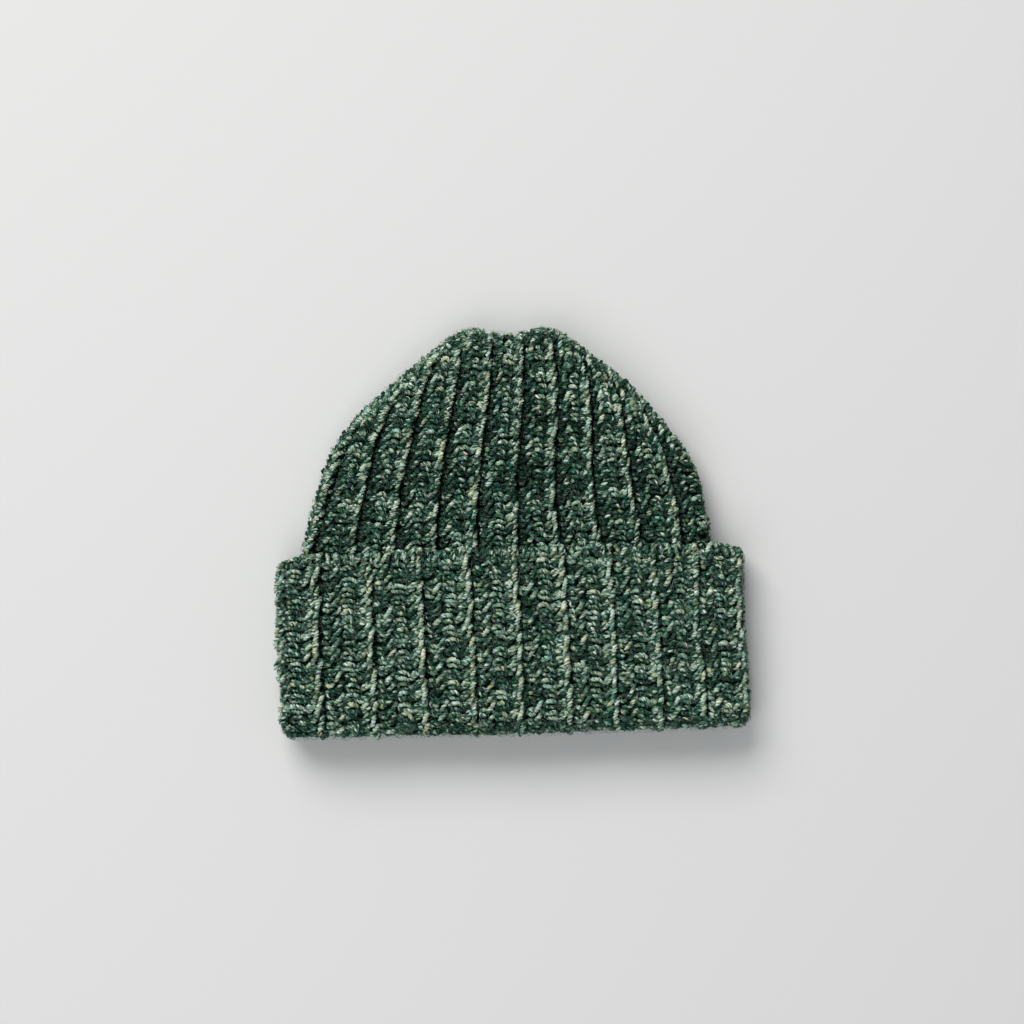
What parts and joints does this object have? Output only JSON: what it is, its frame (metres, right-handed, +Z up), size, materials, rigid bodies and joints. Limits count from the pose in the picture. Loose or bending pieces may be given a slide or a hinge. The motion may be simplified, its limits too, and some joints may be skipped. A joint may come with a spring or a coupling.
{
  "type": "crocheted beanie",
  "caption": "Ribbed crocheted beanie lying flat, gathered at the crown, with a deep turned-up cuff that turns down about its bottom fold.",
  "frame": {"origin": "on the surface the hat lies on, under the middle of its outline", "axes": "+X across the hat along the fold, +Y from the fold to the gathered crown, +Z up out of the cuff's front"},
  "size_m": [0.23, 0.1956, 0.0261],
  "materials": {
    "tweed_yarn": "matt, slightly hairy marled yarn of teal green, mid green, khaki and grey strands",
    "sewing_yarn": "the same marled yarn, pulled tight"
  },
  "bodies": {
    "hat": {"body": "tweed_yarn", "body_seam": "sewing_yarn", "gathering_yarn": "sewing_yarn", "closing_stitches": "sewing_yarn", "crown_tail": "sewing_yarn"},
    "cuff_front": {"cuff_front": "tweed_yarn"},
    "cuff_back": {"cuff_back": "tweed_yarn", "cuff_seam": "sewing_yarn", "brim_tail": "sewing_yarn"},
    "cuff_left": {"cuff_left": "tweed_yarn"},
    "cuff_right": {"cuff_right": "tweed_yarn"}
  },
  "joints": [
    {"name": "cuff_turn", "type": "hinge", "parent": "hat", "child": "cuff_front", "pos_m": [0, -0.0979, 0.02093], "axis": [1, 0, 0], "range_deg": [0, 180]},
    {"name": "cuff_back_turn", "type": "hinge", "parent": "hat", "child": "cuff_back", "pos_m": [0, -0.0979, 0.00517], "axis": [-1, 0, 0], "range_deg": [0, 180]},
    {"name": "cuff_left_turn", "type": "hinge", "parent": "hat", "child": "cuff_left", "pos_m": [-0.10983, -0.0979, 0.01305], "axis": [0, 0, 1], "range_deg": [0, 180]},
    {"name": "cuff_right_turn", "type": "hinge", "parent": "hat", "child": "cuff_right", "pos_m": [0.10983, -0.0979, 0.01305], "axis": [0, 0, -1], "range_deg": [0, 180]}
  ],
  "couplings": [
    {"joint": "cuff_back_turn", "follows": "cuff_turn", "ratio": 1},
    {"joint": "cuff_left_turn", "follows": "cuff_turn", "ratio": 1},
    {"joint": "cuff_right_turn", "follows": "cuff_turn", "ratio": 1}
  ]
}
